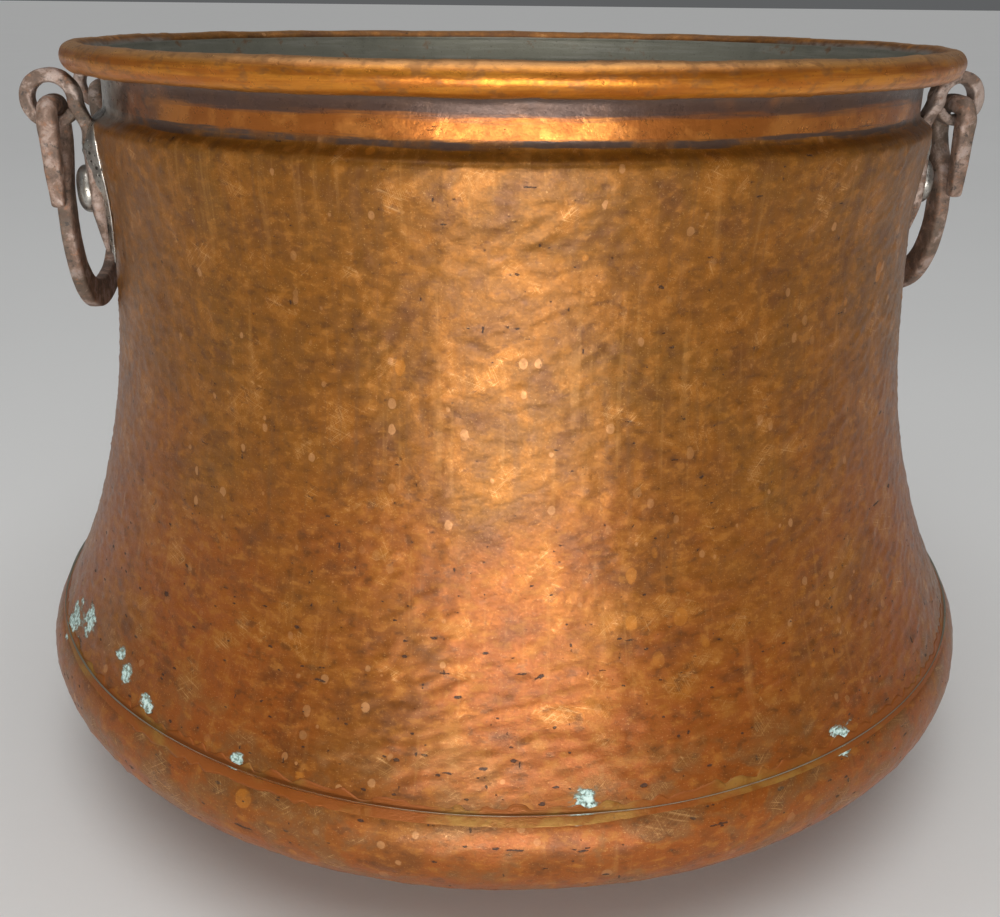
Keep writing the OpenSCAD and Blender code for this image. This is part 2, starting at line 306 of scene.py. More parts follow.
def bar(name, centres, wide, thick, widths, heights, powers, material, seed, rough, around=24):
    """A forged bar: a rounded section carried along a line, uneven from the hammer, with rounded ends."""
    centres, wide, thick = np.array(centres), np.array(wide), np.array(thick)
    turn = np.linspace(0, 2 * math.pi, around, endpoint=False)
    c, s = np.cos(turn), np.sin(turn)
    run = np.gradient(centres, axis=0)
    run = run / np.linalg.norm(run, axis=1, keepdims=True)
    rings = []
    end_shape = ((0.0, 1.0), (0.35, 0.93), (0.6, 0.78), (0.78, 0.5))

    def ring(i, scale, advance):
        p = 2.0 / powers[i]
        across = (np.sign(c) * np.abs(c) ** p)[:, None] * wide[i] * widths[i] / 2 * scale
        up = (np.sign(s) * np.abs(s) ** p)[:, None] * thick[i] * heights[i] / 2 * scale
        return centres[i] + run[i] * advance + across + up

    last = len(centres) - 1
    for advance, scale in reversed(end_shape[1:]):
        rings.append(ring(0, scale, -advance * min(widths[0], heights[0]) * 0.35))
    for i in range(len(centres)):
        rings.append(ring(i, 1.0, 0.0))
    for advance, scale in end_shape[1:]:
        rings.append(ring(last, scale, advance * min(widths[last], heights[last]) * 0.35))
    rings = np.array(rings)
    middles = rings.mean(axis=1, keepdims=True)
    out = rings - middles
    out = out / np.maximum(np.linalg.norm(out, axis=2, keepdims=True), 1e-9)
    flat = rings.reshape(-1, 3)
    bumps = np.array([
        0.9 * noise.noise(Vector(p) * 95 + Vector((seed, 0, 0)))
        + 0.55 * noise.noise(Vector(p) * 260 + Vector((0, seed, 0)))
        for p in flat
    ]).reshape(rings.shape[:2])
    rings = rings + out * (bumps * rough)[..., None]
    points = rings.reshape(-1, 3)
    faces = grid_faces(len(rings), around, False)
    points = np.vstack([points, rings[0].mean(axis=0), rings[-1].mean(axis=0)])
    start, end = len(points) - 2, len(points) - 1
    top = (len(rings) - 1) * around
    for k in range(around):
        n = (k + 1) % around
        faces.append((start, n, k))
        faces.append((end, top + k, top + n))
    return mesh_object(name, points, faces, [material])


def outward(piece):
    """Makes all faces of a closed piece look outward."""
    work = bmesh.new()
    work.from_mesh(piece.data)
    bmesh.ops.recalc_face_normals(work, faces=work.faces)
    work.to_mesh(piece.data)
    work.free()
    return piece


# ------------------------------------------------------------------ material helpers

class Graph:
    """A material's node tree, built with short calls."""

    def __init__(self, name):
        self.material = bpy.data.materials.new(name)
        self.material.use_nodes = True
        self.tree = self.material.node_tree
        self.tree.nodes.clear()
        self.out = self.tree.nodes.new("ShaderNodeOutputMaterial")
        self.shader = self.tree.nodes.new("ShaderNodeBsdfPrincipled")
        self.tree.links.new(self.shader.outputs[0], self.out.inputs[0])
        self.place = self.tree.nodes.new("ShaderNodeTexCoord").outputs["Object"]

    def put(self, socket, value):
        if isinstance(value, bpy.types.NodeSocket):
            self.tree.links.new(value, socket)
        elif value is not None:
            socket.default_value = value

    def math(self, operation, a, b=None, clamp=False):
        node = self.tree.nodes.new("ShaderNodeMath")
        node.operation = operation
        node.use_clamp = clamp
        for socket, value in zip(node.inputs, (a, b)):
            self.put(socket, value)
        return node.outputs[0]

    def times(self, a, b):
        return self.math("MULTIPLY", a, b)

    def plus(self, a, b, clamp=False):
        return self.math("ADD", a, b, clamp)

    def minus(self, a, b, clamp=False):
        return self.math("SUBTRACT", a, b, clamp)

    def split(self, vector):
        node = self.tree.nodes.new("ShaderNodeSeparateXYZ")
        self.put(node.inputs[0], vector)
        return node.outputs

    def join(self, x, y, z):
        node = self.tree.nodes.new("ShaderNodeCombineXYZ")
        for socket, value in zip(node.inputs, (x, y, z)):
            self.put(socket, value)
        return node.outputs[0]

    def stretch(self, vector, scale):
        node = self.tree.nodes.new("ShaderNodeVectorMath")
        node.operation = "MULTIPLY"
        self.put(node.inputs[0], vector)
        node.inputs[1].default_value = scale
        return node.outputs[0]

    def noise(self, vector, scale, detail=3.0, rough=0.55, warp=0.0):
        node = self.tree.nodes.new("ShaderNodeTexNoise")
        self.put(node.inputs["Vector"], vector)
        node.inputs["Scale"].default_value = scale
        node.inputs["Detail"].default_value = detail
        node.inputs["Roughness"].default_value = rough
        node.inputs["Distortion"].default_value = warp
        return node.outputs[0]

    def cells(self, vector, scale):
        """Distance to the nearest cell centre, and a random value for each cell."""
        node = self.tree.nodes.new("ShaderNodeTexVoronoi")
        self.put(node.inputs["Vector"], vector)
        node.inputs["Scale"].default_value = scale
        node.inputs["Randomness"].default_value = 1.0
        return node.outputs["Distance"], self.split(node.outputs["Color"])[0]

    def step(self, value, low, high, start=0.0, end=1.0):
        """Smooth step of a value from low to high, mapped to start and end."""
        node = self.tree.nodes.new("ShaderNodeMapRange")
        node.interpolation_type = "SMOOTHSTEP"
        for socket, item in zip(node.inputs, (value, low, high, start, end)):
            self.put(socket, item)
        return node.outputs[0]

    def mix(self, amount, a, b):
        node = self.tree.nodes.new("ShaderNodeMix")
        node.data_type = "RGBA"
        self.put(node.inputs[0], amount)
        for socket, value in ((node.inputs[6], a), (node.inputs[7], b)):
            self.put(socket, (*value, 1.0) if isinstance(value, tuple) else value)
        return node.outputs[2]

    def bump(self, height, distance):
        node = self.tree.nodes.new("ShaderNodeBump")
        node.inputs["Strength"].default_value = 1.0
        node.inputs["Distance"].default_value = distance
        self.put(node.inputs["Height"], height)
        return node.outputs[0]

    def round_pot(self):
        """Distance round the pot from its front, height and radius, in metres."""
        x, y, z = self.split(self.place)
        angle = self.math("ARCTAN2", x, self.times(y, -1.0))
        radius = self.math("SQRT", self.plus(self.times(x, x), self.times(y, y)))
        return self.join(self.times(angle, WAIST_R), z, radius), z, radius

    def finish(self, colour, metal, rough, normal):
        self.put(self.shader.inputs["Base Color"], colour)
        self.put(self.shader.inputs["Metallic"], metal)
        self.put(self.shader.inputs["Roughness"], rough)
        self.put(self.shader.inputs["Normal"], normal)
        return self.material


# Verdigris at the base seam: turn from the front in degrees, height, radius, strength
VERDIGRIS = (
    (-71.0, 108 * MM, 13 * MM, 1.0), (-66.0, 118 * MM, 9 * MM, 0.9), (-56.0, 121 * MM, 6 * MM, 0.8),
    (-54.0, 114 * MM, 6 * MM, 1.0), (-49.0, 108 * MM, 6 * MM, 1.0), (-35.0, 104 * MM, 4 * MM, 0.7),
    (-0.5, 104 * MM, 8 * MM, 0.8), (29.0, 103 * MM, 9 * MM, 1.0), (96.0, 106 * MM, 8 * MM, 0.9),
    (150.0, 101 * MM, 7 * MM, 0.8), (-128.0, 104 * MM, 8 * MM, 0.9),
)


def spots(g, around, wobble):
    """Mask of the verdigris spots, ragged at their edges."""
    s, z, _ = g.split(around)
    total = None
    for turn, height, radius, strength in VERDIGRIS:
        du = g.minus(s, math.radians(turn) * WAIST_R)
        dv = g.minus(z, height)
        gap = g.math("SQRT", g.plus(g.times(du, du), g.times(dv, dv)))
        gap = g.plus(gap, g.times(g.minus(wobble, 0.5), radius * 2.6))
        one = g.step(gap, radius * 0.35, radius * 1.0, strength, 0.0)
        total = one if total is None else g.math("MAXIMUM", total, one)
    return total


def copper(name, warm):
    """Hammered copper under a brown patina, redder and more pitted towards the base."""
    g = Graph(name)
    around, z, radius = g.round_pot()
    clouds = g.noise(around, 8.0, 4.0, 0.6, 0.4)
    patches = g.noise(around, 45.0, 5.0, 0.62, 0.3)
    mottle = g.noise(g.stretch(around, (1.0, 1.5, 1.0)), 130.0, 4.0, 0.6, 0.2)
    grain = g.noise(around, 520.0, 3.0, 0.65)
    streaks = g.noise(g.stretch(around, (190.0, 9.0, 20.0)), 1.0, 4.0, 0.6)
    rubs = g.noise(g.stretch(around, (14.0, 260.0, 20.0)), 1.0, 4.0, 0.65)

    clouded = g.times(g.minus(clouds, 0.5), 0.18)
    low = g.step(g.plus(z, clouded), 0.10, 0.34, 1.0, 0.0)
    low = g.math("MAXIMUM", low, warm)
    colour = g.mix(low, (0.222, 0.079, 0.006), (0.288, 0.072, 0.006))
    colour = g.mix(g.step(clouds, 0.40, 0.66, 0.0, 0.65), colour, (0.195, 0.080, 0.008))
    colour = g.mix(g.step(patches, 0.46, 0.70, 0.0, 0.70), colour, (0.39, 0.132, 0.010))
    colour = g.mix(g.step(patches, 0.50, 0.30, 0.0, 0.65), colour, (0.120, 0.036, 0.006))
    colour = g.mix(g.step(mottle, 0.50, 0.70, 0.0, 0.50), colour, (0.44, 0.170, 0.024))
    colour = g.mix(g.step(mottle, 0.46, 0.30, 0.0, 0.60), colour, (0.105, 0.036, 0.007))
    side = g.times(g.step(streaks, 0.52, 0.72, 0.0, 0.45), g.step(z, 0.15, 0.26))
    colour = g.mix(side, colour, (0.17, 0.070, 0.018))
    colour = g.mix(g.step(streaks, 0.44, 0.28, 0.0, 0.22), colour, (0.46, 0.22, 0.060))

    # Clusters of small round spots, pale and orange, where drops have lifted the patina
    spot_at = g.stretch(around, (1.0, 0.72, 1.0))
    for size, share, tint, amount in (
        (150.0, 0.26, (0.50, 0.235, 0.085), 0.65),
        (85.0, 0.16, (0.52, 0.185, 0.018), 0.60),
    ):
        gap, pick = g.cells(spot_at, size)
        ragged = g.plus(gap, g.times(g.minus(mottle, 0.5), 0.30))
        limit = g.step(pick, 1.0 - share, 1.0, 0.0, 0.34)
        spot = g.step(g.minus(limit, ragged), 0.0, 0.06)
        spot = g.times(spot, g.step(clouds, 0.40, 0.56, 0.25, 1.0))
        colour = g.mix(g.times(spot, amount), colour, tint)

    # Black pits and short cracks, mostly below
    pits = None
    lower = g.step(z, 0.27, 0.14, 0.06, 1.0)
    for stretch, size, share, far in (
        ((0.8, 1.5, 1.0), 210.0, 0.26, 0.24),
        ((0.30, 2.2, 1.0), 120.0, 0.36, 0.13),
        ((2.2, 0.5, 1.0), 110.0, 0.22, 0.12),
        ((0.7, 1.2, 1.0), 80.0, 0.09, 0.17),
    ):
        gap, pick = g.cells(g.stretch(around, stretch), size)
        worn = g.plus(gap, g.times(g.minus(mottle, 0.5), 0.7))
        worn = g.plus(worn, g.times(g.minus(grain, 0.5), 0.35))
        limit = g.times(g.step(pick, 1.0 - share, 1.0, 0.0, far), lower)
        one = g.step(g.minus(limit, worn), 0.0, 0.05)
        pits = one if pits is None else g.math("MAXIMUM", pits, one)
    colour = g.mix(g.times(pits, 0.85), colour, (0.045, 0.022, 0.014))
    # Darker patches towards the bottom, below the belly
    low_dark_patches = g.times(g.step(z, 0.150, 0.100), g.step(patches, 0.46, 0.62))
    colour = g.mix(g.times(low_dark_patches, 0.55), colour, (0.12, 0.065, 0.030))

    # Fine flecks and fine scratches all over
    flecks = g.noise(around, 1150.0, 2.0, 0.7)
    colour = g.mix(g.step(flecks, 0.60, 0.74, 0.0, 0.40), colour, (0.58, 0.33, 0.12))
    colour = g.mix(g.step(flecks, 0.38, 0.26, 0.0, 0.50), colour, (0.11, 0.050, 0.018))
    for lean, seed in ((0.35, 3.0), (-0.9, 11.0), (2.4, 23.0)):
        s, height, _ = g.split(around)
        across = g.plus(g.times(s, lean), g.plus(height, seed))
        length = g.minus(s, g.times(height, lean))
        along = g.join(g.times(across, 420.0), g.times(length, 9.0), seed)
        lines = g.noise(along, 1.0, 2.0, 0.5)
        near = g.math("ABSOLUTE", g.minus(lines, 0.5))
        scratch = g.times(g.step(near, 0.010, 0.003), g.step(patches, 0.56, 0.64))
        colour = g.mix(g.times(scratch, 0.40), colour, (0.70, 0.40, 0.16))

    # Burnished redder collar; soot and painted shadow under the roll, and soot with painted shade along its
    # foot
    collar = g.times(g.step(z, COLLAR_Z - 1.5 * MM, COLLAR_Z + 1.5 * MM),
                     g.step(z, COLLAR_TOP_Z + 4 * MM, COLLAR_TOP_Z + 1 * MM))
    burnished = g.mix(g.step(patches, 0.44, 0.60), (0.36, 0.105, 0.012), (0.55, 0.195, 0.036))
    colour = g.mix(g.times(collar, 0.85), colour, burnished)
    edge = g.times(g.minus(rubs, 0.5), 0.012)
    height = g.plus(z, edge)
    # Painted shadow of the roll, with soot, on the neck under it
    upper = g.times(g.step(height, COLLAR_TOP_Z - 6 * MM, COLLAR_TOP_Z - 2 * MM),
                    g.step(radius, COLLAR_R + 9 * MM, COLLAR_R + 5.5 * MM))
    soot_and_shade = g.times(upper, g.step(clouds, 0.40, 0.50, 0.55, 1.0))
    soot_and_shade = g.times(soot_and_shade, g.step(z, ROLL_Z + 5.5 * MM, ROLL_Z - 0.5 * MM))
    # A dark line in the crease at the collar's foot: soot with painted shade
    line = g.times(g.step(height, COLLAR_Z - 3.5 * MM, COLLAR_Z - 2 * MM),
                   g.step(height, COLLAR_Z + 1.2 * MM, COLLAR_Z - 0.4 * MM))
    soot_and_shade = g.math("MAXIMUM", soot_and_shade, g.times(line, g.step(patches, 0.38, 0.52, 0.35, 1.0)))
    colour = g.mix(g.times(soot_and_shade, 0.90), colour, (0.048, 0.034, 0.030))

    # Tin smeared over the collar and shoulder beside the brackets, and painted shade darkening the collar
    # beside them
    from_front = g.math("ABSOLUTE", g.split(around)[0])
    turn = g.math("ABSOLUTE", g.minus(from_front, 0.5 * math.pi * WAIST_R))
    turn = g.plus(turn, g.times(g.minus(patches, 0.5), 0.10))
    near = g.times(g.step(z, SHOULDER_Z - 10 * MM, SHOULDER_Z + 2 * MM),
                   g.step(radius, ROLL_C - 0.6 * ROLL_R, ROLL_C - 1.0 * ROLL_R))
    smear = g.times(g.step(turn, 0.130, 0.085), near)
    smear = g.times(smear, g.step(mottle, 0.34, 0.52, 0.35, 0.95))
    # Painted shade: the collar is made darker towards the brackets at the sides
    collar_side_shade = g.times(g.step(turn, 0.190, 0.140),
                    g.step(z, COLLAR_Z - 2 * MM, COLLAR_Z + 2 * MM))
    collar_side_shade = g.times(collar_side_shade, g.step(radius, COLLAR_R + 4 * MM, COLLAR_R + 2.5 * MM))
    collar_side_shade = g.times(collar_side_shade, g.step(patches, 0.40, 0.55, 0.25, 0.85))
    colour = g.mix(collar_side_shade, colour, (0.060, 0.044, 0.036))
    colour = g.mix(smear, colour, (0.33, 0.30, 0.26))

    # Rubbed roll, paler along its top from wear and a painted highlight
    roll = g.step(radius, ROLL_C - 0.55 * ROLL_R, ROLL_C - 0.1 * ROLL_R)
    roll = g.times(roll, g.step(z, ROLL_Z - ROLL_R, ROLL_Z - 0.7 * ROLL_R))
    gold = g.mix(g.step(rubs, 0.40, 0.62), (0.42, 0.125, 0.010), (0.58, 0.215, 0.020))
    # Paler along the top of the roll: wear with a painted highlight
    gold = g.mix(g.step(z, ROLL_Z + 0.35 * ROLL_R, ROLL_Z + 0.9 * ROLL_R, 0.0, 0.5), gold, (0.60, 0.36, 0.15))
    gold = g.mix(g.step(mottle, 0.50, 0.66, 0.0, 0.6), gold, (0.22, 0.095, 0.030))
    colour = g.mix(roll, colour, gold)

    green = spots(g, around, mottle)
    pale = g.mix(g.step(grain, 0.40, 0.62), (0.24, 0.40, 0.36), (0.60, 0.74, 0.70))
    halo = g.step(green, 0.02, 0.30, 0.0, 0.6)
    colour = g.mix(halo, colour, (0.17, 0.13, 0.07))
    crust = g.step(green, 0.28, 0.70)
    crust = g.times(crust, g.step(grain, 0.36, 0.50, 0.35, 1.0))
    colour = g.mix(crust, colour, pale)

    rough = g.step(mottle, 0.30, 0.70, 0.34, 0.47)
    rough = g.plus(rough, g.step(grain, 0.35, 0.70, -0.03, 0.06))
    rough = g.plus(rough, g.times(pits, 0.25))
    rough = g.plus(rough, g.times(roll, -0.06))
    rough = g.plus(rough, g.times(collar, -0.08))
    rough = g.plus(rough, g.times(crust, 0.45), clamp=True)
    metal = g.plus(g.step(patches, 0.35, 0.65, 0.36, 0.50), g.times(roll, 0.25))
    metal = g.plus(metal, g.times(collar, 0.30))
    metal = g.minus(metal, g.times(crust, 0.90), clamp=True)
    metal = g.minus(metal, g.times(soot_and_shade, 0.35), clamp=True)

    relief = g.times(grain, 0.35)
    relief = g.plus(relief, g.times(mottle, 0.8))
    relief = g.minus(relief, g.times(pits, 1.6))
    relief = g.plus(relief, g.times(crust, 1.2))
    relief = g.plus(relief, g.times(rubs, 0.12))
    g.shader.inputs["Coat Weight"].default_value = 0.22
    g.shader.inputs["Coat Roughness"].default_value = 0.40
    g.shader.inputs["Specular IOR Level"].default_value = 0.22
    return g.finish(colour, metal, rough, g.bump(relief, 0.30 * MM))


def tin_lining():
    """The worn tin on the inside, grey green with copper showing through."""
    g = Graph("tin_lining")
    around, _, _ = g.round_pot()
    clouds = g.noise(around, 14.0, 4.0, 0.6, 0.5)
    patches = g.noise(around, 60.0, 5.0, 0.65)
    grain = g.noise(around, 700.0, 2.0, 0.6)
    wipes = g.noise(g.stretch(around, (20.0, 320.0, 10.0)), 1.0, 3.0, 0.6)
    colour = g.mix(clouds, (0.30, 0.29, 0.225), (0.42, 0.405, 0.325))
    colour = g.mix(g.step(wipes, 0.45, 0.70, 0.0, 0.5), colour, (0.52, 0.50, 0.43))
    colour = g.mix(g.step(patches, 0.58, 0.70, 0.0, 0.8), colour, (0.34, 0.17, 0.08))
    colour = g.mix(g.step(grain, 0.38, 0.25, 0.0, 0.6), colour, (0.12, 0.11, 0.09))
    rough = g.step(patches, 0.3, 0.7, 0.38, 0.55)
    relief = g.plus(g.times(patches, 0.7), g.times(grain, 0.3))
    return g.finish(colour, 0.75, rough, g.bump(relief, 0.25 * MM))


def brass():
    """Spelter of the brazed seams, dull yellow and mottled."""
    g = Graph("brass_spelter")
    around, _, _ = g.round_pot()
    patches = g.noise(around, 90.0, 5.0, 0.65, 0.5)
    grain = g.noise(around, 520.0, 3.0, 0.6)
    colour = g.mix(g.step(patches, 0.38, 0.62), (0.26, 0.090, 0.010), (0.33, 0.160, 0.026))
    colour = g.mix(g.step(grain, 0.40, 0.25, 0.0, 0.7), colour, (0.12, 0.075, 0.03))
    colour = g.mix(g.step(g.noise(around, 25.0, 3.0), 0.40, 0.54, 0.0, 1.0), colour, (0.29, 0.078, 0.008))
    rough = g.step(patches, 0.3, 0.7, 0.34, 0.52)
    relief = g.plus(patches, g.times(grain, 0.5))
    return g.finish(colour, 0.40, rough, g.bump(relief, 0.35 * MM))


def iron(name, rub):
    """Forged iron: brown scale, rust in the hollows and grey where hands have rubbed it."""
    g = Graph(name)
    clouds = g.noise(g.place, 28.0, 3.0, 0.6)
    patches = g.noise(g.place, 95.0, 6.0, 0.65, 0.4)
    scale = g.noise(g.place, 260.0, 4.0, 0.65)
    grain = g.noise(g.place, 950.0, 2.0, 0.6)
    colour = g.mix(g.step(patches, 0.38, 0.62), (0.150, 0.100, 0.074), (0.330, 0.215, 0.160))
    colour = g.mix(g.step(clouds, 0.50, 0.64, 0.0, 0.65), colour, (0.105, 0.082, 0.060))
    colour = g.mix(g.step(scale, 0.56, 0.68, 0.0, 0.65), colour, (0.37, 0.185, 0.105))
    colour = g.mix(g.step(scale, 0.44, 0.34, 0.0, 0.80), colour, (0.045, 0.036, 0.030))
    worn = g.step(patches, 0.52 - rub, 0.66 - rub, 0.0, 0.70)
    colour = g.mix(worn, colour, (0.46, 0.375, 0.335))
    colour = g.mix(g.step(grain, 0.36, 0.24, 0.0, 0.7), colour, (0.035, 0.028, 0.024))
    rough = g.minus(g.step(scale, 0.35, 0.65, 0.56, 0.74), g.times(worn, 0.14))
    metal = g.plus(0.16, g.times(worn, 0.45), clamp=True)
    relief = g.plus(g.times(scale, 1.0), g.times(grain, 0.25))
    relief = g.plus(relief, g.times(patches, 0.8))
    return g.finish(colour, metal, rough, g.bump(relief, 0.60 * MM))


def tin(name, pitted):
    """Wiped tin: bright where it flowed, dark in its pits."""
    g = Graph(name)
    patches = g.noise(g.place, 120.0, 5.0, 0.65, 0.4)
    pits_at, pick = g.cells(g.place, 330.0)
    grain = g.noise(g.place, 800.0, 2.0, 0.6)
    colour = g.mix(g.step(patches, 0.35, 0.65), (0.36, 0.34, 0.31), (0.62, 0.60, 0.55))
    colour = g.mix(g.step(patches, 0.56, 0.72, 0.0, 0.6), colour, (0.52, 0.43, 0.28))
    ragged = g.plus(pits_at, g.times(g.minus(patches, 0.5), 0.8))
    pits = g.times(g.step(ragged, 0.34, 0.20), g.step(pick, 1.0 - pitted, 1.02 - pitted))
    colour = g.mix(g.times(pits, 0.85), colour, (0.05, 0.04, 0.03))
    rough = g.step(grain, 0.3, 0.7, 0.26, 0.46)
    relief = g.plus(patches, g.times(grain, 0.2))
    relief = g.minus(relief, g.times(pits, 1.5))
    return g.finish(colour, 0.92, rough, g.bump(relief, 0.45 * MM))


copper_wall = copper("copper_wall", 0.0)
copper_base = copper("copper_base", 0.85)
lining = tin_lining()
spelter = brass()
iron_bail = iron("iron_bail", 0.01)
iron_bracket = iron("iron_bracket", 0.08)
tin_bed = tin("tin_bed", 0.45)
tin_rivet = tin("tin_rivet", 0.12)


# ------------------------------------------------------------------ copper pieces

def fade_at_seam(z):
    """The hammer marks die out at the brazed seam."""
    return smooth(3 * MM, 14 * MM, np.abs(z - (BELLY_Z + SEAM_TOP_Z) / 2))


def make_wall():
    outer = wall_line()
    outer = np.insert(outer, 1, [outer[0][0], outer[0][1] + 0.3 * MM], axis=0)
    neck = bezier([(COLLAR_R, COLLAR_TOP_Z), (COLLAR_R, COLLAR_TOP_Z + 4 * MM),
                   (COLLAR_R + 2 * MM, ROLL_Z - 6 * MM), (ROLL_C - 7.2 * MM, ROLL_Z - 5.2 * MM)],
                  np.linspace(0, 1, 7))[1:]
    turn = np.radians(np.linspace(-118, 178, 30))
    roll = np.stack([ROLL_C + ROLL_R * np.cos(turn), ROLL_Z + ROLL_R * np.sin(turn)], axis=1)
    inner = outer[::-1][::3] - [WALL_T, 0]
    section = np.concatenate([outer, neck, roll, inner])
    n_outer, n_neck, n_roll = len(outer), len(neck), len(roll)
    roll_end = n_outer + n_neck + n_roll

    def shift(angle, row, r, z):
        outside = row < n_outer
        inside = row >= roll_end
        marks = np.where(z < COLLAR_Z - 8 * MM, 1.0, 0.18) * fade_at_seam(z)
        marks = np.where(outside | inside, marks, 0.0)
        waves = unevenness(angle, z)
        marks = marks * hammer_marks(angle, z * 1.05, *WALL_MARKS)
        side = np.where(inside, -1.0, np.where(outside, 1.0, 0.0))
        dents = hammer_marks(angle, z * 0.5, *ROLL_MARKS)
        on_roll = 0.22 * MM * np.sin(19 * angle + 1.3 * np.sin(5 * angle)) + dents
        near_rim = smooth(COLLAR_TOP_Z, COLLAR_Z - 10 * MM, z)
        return side * (waves * near_rim + marks) + (1 - np.abs(side)) * on_roll

    def material(i):
        return 1 if i >= roll_end - 3 else 0

    return revolve("wall", section, WALL_COLUMNS, shift, [copper_wall, lining], material)


def pan_side(inset):
    """The rounded side of the base pan, from the seam down to the flat middle."""
    top_r = BELLY_R - inset
    return bezier([(top_r, BELLY_Z), (top_r + BELLY_SLOPE * BASE_SIDE_PULL, BELLY_Z - BASE_SIDE_PULL),
                   (BASE_FLAT_R + BASE_FLOOR_PULL, inset), (BASE_FLAT_R, inset)], np.linspace(0, 1, 200))


def make_pan():
    outer = even(pan_side(0.0)[::-1], 2.3 * MM)
    outer = np.insert(outer, -1, [outer[-1][0], outer[-1][1] - 0.3 * MM], axis=0)
    inner = even(pan_side(BASE_T), 6 * MM)
    flat = np.linspace(0, BASE_FLAT_R, 18)[:-1]
    bottom = np.stack([flat, np.zeros_like(flat)], axis=1)
    floor = np.stack([flat[::-1], np.full_like(flat, BASE_T)], axis=1)
    section = np.concatenate([bottom, outer, inner, floor])
    n_bottom, n_outer = len(bottom), len(outer)
    run = np.r_[0, np.cumsum(np.linalg.norm(np.diff(section, axis=0), axis=1))]

    def shift(angle, row, r, z):
        row = row + 1
        inside = row >= n_bottom + n_outer
        side = np.where(inside, -1.0, 1.0)
        grounded = smooth(3 * MM, 25 * MM, z)
        along = np.interp(np.where(inside, 2 * (n_bottom + n_outer) - row, row), np.arange(len(run)), run)
        marks = fade_at_seam(z) * hammer_marks(angle, along, *PAN_MARKS)
        marks = marks * np.where(inside, smooth(0.02, 0.08, r), grounded)
        return side * (unevenness(angle, z) * grounded + marks)

    def material(i):
        return 1 if i >= n_bottom + n_outer - 1 else 0

    return revolve("pan", section, PAN_COLUMNS, shift, [copper_base, lining], material, closed=False)


def tooth(angle, pitch, seed):
    """Irregular teeth round the pot, from 0 to 1."""
    count = int(2 * math.pi * BELLY_R / pitch)
    draw = np.random.default_rng(seed)
    heights = draw.uniform(0.1, 1.0, count)
    at = (angle / (2 * math.pi)) % 1.0 * count
    k = np.floor(at).astype(int)
    t = at - k
    ease = smooth(0.0, 1.0, t)
    return heights[k % count] * (1 - ease) + heights[(k + 1) % count] * ease


def make_base_seam():
    """A thin ragged ring of brass over the joint, standing a hair proud of the copper."""
    rows = 9
    angle = np.linspace(0, 2 * math.pi, SEAM_COLUMNS, endpoint=False)
    middle = (BELLY_Z + SEAM_TOP_Z) / 2
    wander = 1.2 * MM * np.sin(2 * angle + 0.6) + 0.6 * MM * np.sin(7 * angle)
    top = middle + wander * 0.5 + 2.4 * MM + 4.2 * MM * tooth(angle, 4.5 * MM, 3)
    low = middle + wander * 0.5 - 2.2 * MM - 2.6 * MM * tooth(angle, 5 * MM, 4)
    across = np.linspace(0, 1, rows)[:, None]
    z = low + (top - low) * across
    proud = 0.06 * MM * np.sin(np.pi * across) + 0.04 * MM
    side = pan_side(0.0)[::-1]
    pan_r = np.interp(z, side[:, 1], side[:, 0])
    face_r = np.where(z > BELLY_Z, wall_radius(np.maximum(z, SEAM_TOP_Z)), pan_r)
    base_r = face_r + unevenness(angle, z)
    outer = base_r + proud
    inner = (base_r - 1.0 * MM)[::-1]
    r = np.concatenate([outer, inner])
    z = np.concatenate([np.broadcast_to(z, outer.shape), z[::-1]])
    points = np.stack([r * np.sin(angle), -r * np.cos(angle), z], axis=2).reshape(-1, 3)
    return mesh_object("seam_ring", points, grid_faces(2 * rows, SEAM_COLUMNS, True), [spelter])


def make_side_seam():
    """The upright joint at the back, with the small cramps that lock the two edges of the sheet."""
    rows = 180
    z = np.linspace(side_low[2], side_high[2], rows)
    half = (side_high[0] - side_low[0]) / 2
    cramps = 2.4 * MM * (smooth(-0.2, 0.2, np.sin(z * 2 * math.pi / (22 * MM))) - 0.5)
    across = np.array([-1.0, -0.6, 0.0, 0.6, 1.0])
    base = wall_radius(z)
    front, back = [], []
    for k in across:
        x = k * half * 0.8 + cramps
        angle = math.pi - x / base
        r = base + unevenness(angle, z) + 0.28 * MM * (1 - 0.8 * k * k) - 0.05 * MM
        front.append(np.stack([r * np.sin(angle), -r * np.cos(angle), z], axis=1))
        r = r - WALL_T - 0.4 * MM
        back.append(np.stack([r * np.sin(angle), -r * np.cos(angle), z], axis=1))
    loop = np.array(front + back[::-1])
    count = len(loop)
    points = loop.transpose(1, 0, 2).reshape(-1, 3)
    faces = grid_faces(rows, count, False)
    faces.append(tuple(range(count))[::-1])
    faces.append(tuple((rows - 1) * count + k for k in range(count)))
    return outward(mesh_object("seam_upright", points, faces, [spelter]))


# ------------------------------------------------------------------ handles

def sided(points, side, end):
    """Points drawn for the right rear, moved to one of the four corners."""
    return np.asarray(points) * [side, end, 1]


RADIAL = np.array([math.cos(BRACKET_A), math.sin(BRACKET_A), 0.0])
TANGENT = np.array([-math.sin(BRACKET_A), math.cos(BRACKET_A), 0.0])
UP = np.array([0.0, 0.0, 1.0])
ALONG_X = np.array([1.0, 0.0, 0.0])
ALONG_Y = np.array([0.0, 1.0, 0.0])


